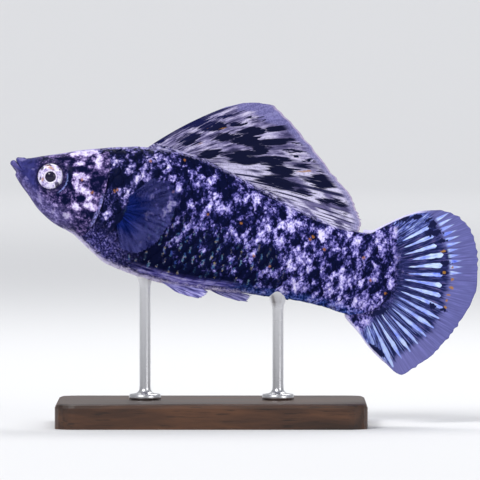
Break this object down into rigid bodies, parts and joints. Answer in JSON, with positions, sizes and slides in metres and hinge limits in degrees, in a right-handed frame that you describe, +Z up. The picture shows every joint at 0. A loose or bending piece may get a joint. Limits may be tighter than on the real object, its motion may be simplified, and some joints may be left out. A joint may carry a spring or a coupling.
{
  "type": "sailfin molly model",
  "caption": "Life-size still model of a male sailfin molly, nose up, with a raised sail-like dorsal fin and a fanned tail, carried on short rods above a flat wooden base.",
  "frame": {"origin": "centre of the stand base's underside", "axes": "+X towards the tail, the head at -X; -Y is the fish's left side; +Z up"},
  "size_m": [0.0934, 0.04, 0.0645],
  "materials": {
    "skin": "moist scaled skin",
    "fin": "ribbed web",
    "eye": "wet gloss",
    "base": "dark satin",
    "rod": "brushed"
  },
  "bodies": {
    "root": {"head": "skin", "torso": "skin", "tail_stalk": "skin", "dorsal_fin": "fin", "caudal_fin": "fin", "gonopodium": "fin", "pectoral_fin_left": "fin", "pectoral_fin_right": "fin", "pelvic_fin_left": "fin", "pelvic_fin_right": "fin", "eye_left": "eye", "eye_right": "eye", "stand_base": "base", "stand_rod_front": "rod", "stand_rod_rear": "rod"}
  },
  "joints": []
}
